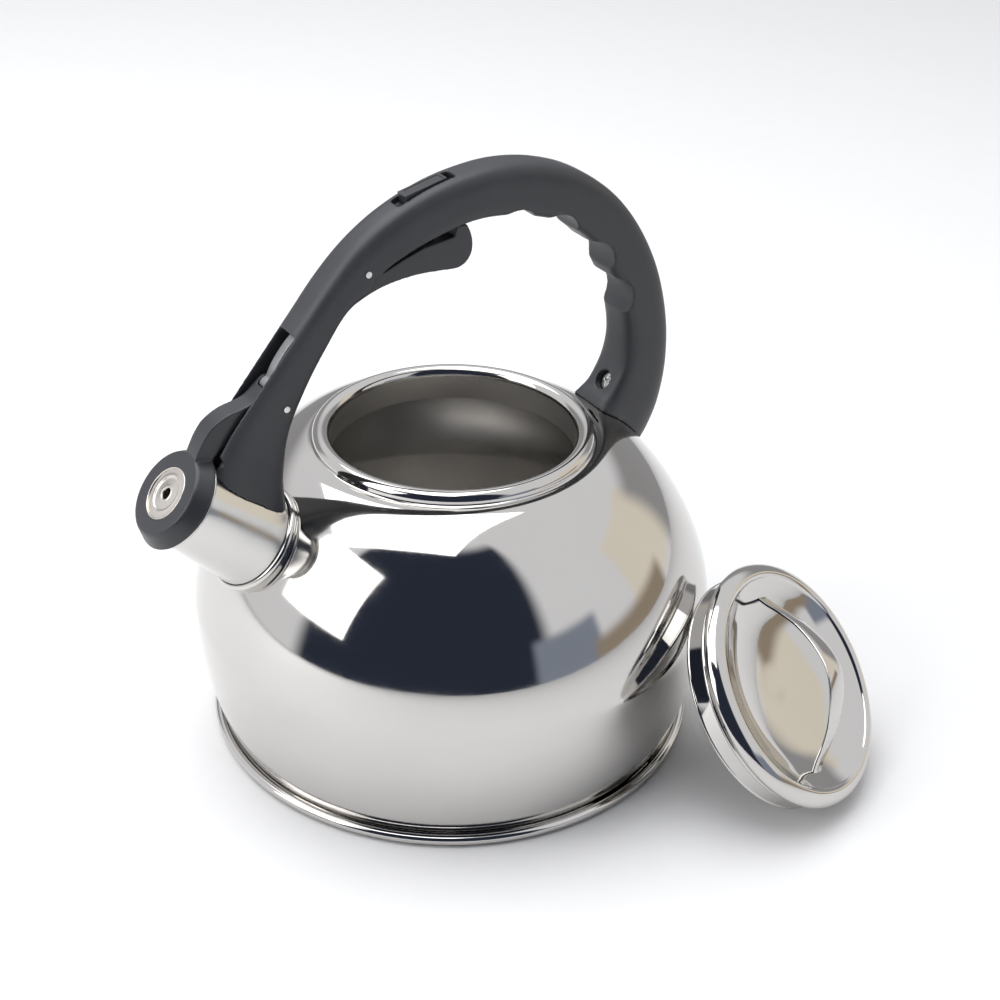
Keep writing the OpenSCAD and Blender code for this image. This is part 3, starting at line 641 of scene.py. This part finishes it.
slideFrame = (Matrix.Translation(Vector((slideMid[0], 0, slideMid[1])) * mm)
              @ Matrix.Rotation(math.radians(-slideTilt), 4, "Y"))

softPieces = {
    "trigger": {"node": "trigger", "body": "trigger", "slot": "handle_plastic", "voxel": 0.34, "relax": 5},
    "capLever": {"node": "cap_lever", "body": "cap", "slot": "cap_plastic", "voxel": 0.34, "relax": 4},
    "linkRod": {"node": "link_rod", "body": "link", "slot": "link_steel", "voxel": 0.26, "relax": 3},
    "thumbSlide": {"node": "thumb_slide", "body": "slide", "slot": "cap_plastic", "voxel": 0.24, "relax": 4},
    "rearScrew": {"node": "rear_screw", "body": "kettle", "slot": "satin_steel", "voxel": 0.2, "relax": 2},
}
slotMaterials = {"handle_plastic": handlePlastic, "cap_plastic": capPlastic, "link_steel": linkSteel,
                 "satin_steel": pinSteel, "whistle_steel": whistleSteel, "disc_aluminium": discAluminium,
                 "seal_rubber": sealRubber, "polished_steel": polishedSteel}


def buildMouldings():
    for name, look in softPieces.items():
        piece = copyOf(look["node"], name)
        soften(piece, look["voxel"], look["relax"])
        finishPiece(piece, look["body"], slotMaterials[look["slot"]], look["slot"], look["node"])
    print("mouldings made")


whistleShape = {"radius": 10.2, "sheet": 0.7, "depth": 11.0, "hole": 2.1,
                "capGap": 0.35, "capThickness": 6.3}


def buildWhistle():
    s = whistleShape
    reach = spoutShape["length"] + s["capGap"] + s["capThickness"]
    front = (spoutRoot[0] + reach * spoutDir[0], spoutRoot[1] + reach * spoutDir[1])
    place = axisFrame(front, (-spoutDir[0], -spoutDir[1]))
    inside = s["radius"] - s["sheet"]
    edge = s["sheet"] / 2
    cup = lathe("whistleCup", arcPoints((s["radius"] - edge, edge), edge, 180, 360, 12)
                + [(s["radius"], s["depth"]), (inside, s["depth"])], 128, 40)
    cup.matrix_world = place
    finishPiece(cup, "cap", whistleSteel, "whistle_steel", "whistle_cup")
    # a dished plate with two pressed rings and a rolled hole
    top = curveThrough([(s["hole"], 0.86), (2.35, 0.44), (2.8, 0.34), (3.4, 0.5), (5.6, 0.74), (6.2, 0.7),
                        (6.7, 0.36), (7.2, 0.32), (8.0, 0.46), (inside - 0.02, 0.5)], 5)
    face = lathe("whistleFace", top + [(inside - 0.02, 0.9), (s["hole"], 0.9)], 128, 50)
    face.matrix_world = place
    finishPiece(face, "cap", whistleSteel, "whistle_steel", "whistle_face")
    print("whistle made")


lidShape = {
    "rim": 49.3, "skirt": 46.4, "skirtDepth": 11.6, "rimTop": 4.6, "bowl": -6.5, "sheet": 0.8, "bead": 0.8,
    "leanUp": 40.2, "leanTurn": -62.3, "aim": -52.7, "reach": 142.79, "height": 43.52,
    "strapTurn": 154, "strapWidth": 10, "strapFoot": 5.4, "strapSheet": 1.0, "strapEdge": 0.32,
    "strap": [(-42.4, 2.4), (-39.6, -0.2), (-36.4, -0.6), (-32.4, 2.2), (-27, 7.6), (-20, 13.6), (-10, 19.2),
              (0, 21.6)],
}


def lidFrame(s):
    aim = math.radians(s["aim"])
    where = Vector((s["reach"] * math.cos(aim), s["reach"] * math.sin(aim), s["height"])) * mm
    return (Matrix.Translation(where) @ Matrix.Rotation(math.radians(s["leanTurn"]), 4, "Z")
            @ Matrix.Rotation(math.radians(90 - s["leanUp"]), 4, "Y"))


def buildLid():
    s = lidShape
    place = lidFrame(s)
    r, top, bowl = s["rim"], s["rimTop"], s["bowl"]
    k, low = s["skirt"], -s["skirtDepth"]
    outside = [(0, bowl)] + curveThrough([(0.5, bowl), (12, bowl + 0.2), (26, bowl + 2.6), (36, bowl + 6.4),
                                         (r - 7.6, 3), (r - 6.2, top - 0.4), (r - 4.4, top),
                                         (r - 1.5, top - 1.6), (r, 0.3), (r - 0.7, -1.8), (r - 2, -2.8)], 9)
    outside += curveThrough([(k + 0.6, -3.2), (k + 0.9, -3.9), (k + 0.5, -4.6), (k + 0.02, -4.9)], 6)
    inside = curveThrough([(k + 0.02, -2.6), (k - 0.2, -2.2), (r - 2.2, -1.4), (r - 1.2, 0.2),
                           (r - 4.2, top - 1.1), (r - 6.8, 2.3), (36, bowl + 5.6), (26, bowl + 1.8),
                           (12, bowl - 0.6), (0.5, bowl - 0.8)], 6)
    shell = lathe("lidShell", outside + inside + [(0, bowl - 0.8)], 256, 30)
    shell.matrix_world = place
    finishPiece(shell, "lid", polishedSteel, "polished_steel", "lid_shell")

    wall = [(k, -2.66), (k, low + 0.9)] + arcPoints((k - 0.4, low), s["bead"], 55, -90, 12)
    wall += [(k - 4, low), (k - 4, low + 0.7), (k - 0.7, low + 0.7), (k - 0.7, -2.66)]
    skirt = lathe("lidSkirt", wall, 256, 35)
    skirt.matrix_world = place
    finishPiece(skirt, "lid", polishedSteel, "polished_steel", "lid_skirt")

    path = curveThrough(s["strap"] + [(-x, z) for x, z in s["strap"][-2::-1]], 8)
    under = shifted(path, s["strapSheet"])
    soft = s["strapEdge"]
    bm = bmesh.new()
    rings = []
    for (x, z), (ux, uz) in zip(path, under):
        dx, dz = (ux - x) / s["strapSheet"] * soft, (uz - z) / s["strapSheet"] * soft
        taper = min(max((abs(x) - 2) / 30, 0), 1)
        half = (s["strapWidth"] + (s["strapFoot"] - s["strapWidth"]) * taper * taper * (3 - 2 * taper)) / 2
        section = []
        for cornerX, cornerZ, side, inX, inZ in ((x, z, 1, dx, dz), (ux, uz, 1, -dx, -dz),
                                                 (ux, uz, -1, -dx, -dz), (x, z, -1, dx, dz)):
            alongEdge = (cornerX + inX, side * half, cornerZ + inZ)
            acrossEdge = (cornerX, side * (half - soft), cornerZ)
            middle = (cornerX + 0.3 * inX, side * (half - 0.3 * soft), cornerZ + 0.3 * inZ)
            first = side * inZ * dz + side * inX * dx > 0
            section += [acrossEdge, middle, alongEdge] if first else [alongEdge, middle, acrossEdge]
        rings.append([bm.verts.new(Vector(p) * mm) for p in section])
    for a, b in zip(rings, rings[1:]):
        for i in range(len(a)):
            j = (i + 1) % len(a)
            bm.faces.new((a[i], a[j], b[j], b[i]))
    bm.faces.new(rings[0])
    bm.faces.new(rings[-1])
    strap = newPiece("lidStrap", bm, 40)
    strap.matrix_world = place @ Matrix.Rotation(math.radians(s["strapTurn"]), 4, "Z")
    room = lathe("lidRoom", [(max(0, x), z) for x, z in shifted(outside, -0.02)] + [(k, -20), (0, -20)], 192)
    room.matrix_world = place
    cutWith(strap, [room], "EXACT")
    smoothShade(strap, 40)
    finishPiece(strap, "lid", polishedSteel, "polished_steel", "lid_strap")
    print("lid made")


viewShape = {
    "place": (-0.2914, -0.488, 0.4331), "turn": -32.75, "tip": 59.22, "roll": 1.45, "lens": 59.4,
}
lightShape = {
    "sky": (0.96, 0.97, 1.0), "skyPower": 0.95,
    "topPower": 16, "topSize": 1.4, "topPlace": (-0.25, 0.3, 1.5),
    "sidePower": 9, "sideSize": 1.0, "sidePlace": (-1.4, 0.1, 0.9),
    "target": (0, 0, 0.1), "floorHalf": 2.2,
}


def buildCamera():
    v = viewShape
    data = bpy.data.cameras.new("camera")
    data.lens = v["lens"]
    data.sensor_width = 36
    data.clip_start = 0.01
    camera = bpy.data.objects.new("camera", data)
    camera.matrix_world = (Matrix.Translation(v["place"]) @ Matrix.Rotation(math.radians(v["turn"]), 4, "Z")
                           @ Matrix.Rotation(math.radians(v["tip"]), 4, "X")
                           @ Matrix.Rotation(math.radians(v["roll"]), 4, "Z"))
    scene.collection.objects.link(camera)
    scene.camera = camera


def areaLight(name, place, target, size, power):
    data = bpy.data.lights.new(name, "AREA")
    data.shape = "RECTANGLE"
    data.size, data.size_y = size
    data.energy = power
    lamp = bpy.data.objects.new(name, data)
    lamp.location = place
    lamp.rotation_euler = (Vector(target) - Vector(place)).to_track_quat("-Z", "Y").to_euler()
    scene.collection.objects.link(lamp)


# stretches of the room that the steel reflects: compass, height above the horizon, half sizes, soft edge
roomPatches = [
    {"turn": -133, "up": 30, "halfTurn": 50, "halfUp": 36, "soft": 9, "colour": (0.03, 0.038, 0.062)},
    {"turn": 160, "up": 42, "halfTurn": 12, "halfUp": 18, "soft": 5, "colour": (0.95, 0.96, 1.0)},
    {"turn": -70, "up": 5, "halfTurn": 13, "halfUp": 9, "soft": 5, "colour": (0.3, 0.34, 0.42)},
    {"turn": -12, "up": 16, "halfTurn": 17, "halfUp": 13, "soft": 6, "colour": (1.0, 0.93, 0.8)},
    {"turn": -35, "up": -4, "halfTurn": 20, "halfUp": 7, "soft": 6, "colour": (0.4, 0.33, 0.25)},
    {"turn": 60, "up": 8, "halfTurn": 50, "halfUp": 12, "soft": 12, "colour": (0.4, 0.4, 0.41)},
]


def buildWorld():
    world = bpy.data.worlds.new("studio")
    world.use_nodes = True
    scene.world = world
    tree = world.node_tree
    background = tree.nodes["Background"]
    background.inputs["Strength"].default_value = lightShape["skyPower"]

    def mathNode(operation, a, b=0.0):
        node = tree.nodes.new("ShaderNodeMath")
        node.operation = operation
        for socket, value in zip(node.inputs, (a, b)):
            if isinstance(value, (int, float)):
                socket.default_value = value
            else:
                tree.links.new(value, socket)
        return node.outputs[0]

    def soften01(value, edge, soft):
        node = tree.nodes.new("ShaderNodeMapRange")
        node.interpolation_type = "SMOOTHSTEP"
        node.inputs["From Min"].default_value = edge + soft
        node.inputs["From Max"].default_value = edge
        tree.links.new(value, node.inputs["Value"])
        return node.outputs["Result"]

    place = tree.nodes.new("ShaderNodeTexCoord")
    apart = tree.nodes.new("ShaderNodeSeparateXYZ")
    tree.links.new(place.outputs["Generated"], apart.inputs[0])
    x, y, z = apart.outputs
    height = mathNode("ARCSINE", z)
    colour = (*lightShape["sky"], 1)
    for patch in roomPatches:
        a = math.radians(patch["turn"])
        # angle from the patch's middle, so that it has no seam
        forward = mathNode("ADD", mathNode("MULTIPLY", x, math.cos(a)), mathNode("MULTIPLY", y, math.sin(a)))
        across = mathNode("SUBTRACT", mathNode("MULTIPLY", y, math.cos(a)),
                          mathNode("MULTIPLY", x, math.sin(a)))
        turned = mathNode("ABSOLUTE", mathNode("ARCTAN2", across, forward))
        lifted = mathNode("ABSOLUTE", mathNode("SUBTRACT", height, math.radians(patch["up"])))
        soft = math.radians(patch["soft"])
        mask = mathNode("MULTIPLY", soften01(turned, math.radians(patch["halfTurn"]), soft),
                        soften01(lifted, math.radians(patch["halfUp"]), soft))
        mix = tree.nodes.new("ShaderNodeMix")
        mix.data_type = "RGBA"
        tree.links.new(mask, mix.inputs["Factor"])
        if isinstance(colour, tuple):
            mix.inputs["A"].default_value = colour
        else:
            tree.links.new(colour, mix.inputs["A"])
        mix.inputs["B"].default_value = (*patch["colour"], 1)
        colour = mix.outputs["Result"]
    tree.links.new(colour, background.inputs["Color"])


def buildStage():
    bm = bmesh.new()
    bmesh.ops.create_grid(bm, x_segments=4, y_segments=4, size=lightShape["floorHalf"])
    floor = newPiece("floor", bm)
    kit = Nodes("floorPaint")
    speckle = kit.noise(kit.coords(), 60, 3)
    kit.join(kit.mixColour(kit.range(speckle, 0, 1), (0.9, 0.9, 0.9), (0.89, 0.89, 0.89)),
             kit.shader.inputs["Base Color"])
    kit.shader.inputs["Roughness"].default_value = 0.7
    floor.data.materials.append(kit.material)
    s = lightShape
    areaLight("top", s["topPlace"], s["target"], (s["topSize"],) * 2, s["topPower"])
    areaLight("left", s["sidePlace"], s["target"], (s["sideSize"],) * 2, s["sidePower"])


buildCamera()
buildStage()
buildWorld()
buildBody()
buildSpout()
buildHandle()
buildMouldings()
buildWhistle()
buildLid()

# CAD nodes that stay as they are take the finish of their slot
shownNodes = {"disc_cover": pinSteel, "heat_disc": discAluminium, "front_bracket": pinSteel,
              "rear_bracket": pinSteel, "front_screw": pinSteel, "trigger_pin": pinSteel,
              "link_pin": pinSteel, "crank_pin": pinSteel, "lever_pin": pinSteel,
              "trigger_spring": pinSteel, "slide_spring": pinSteel, "whistle_reed": pinSteel,
              "cap_seal": sealRubber}
for node, material in shownNodes.items():
    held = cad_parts[node].data.materials
    held.clear()
    held.append(material)
print("CAD nodes painted")
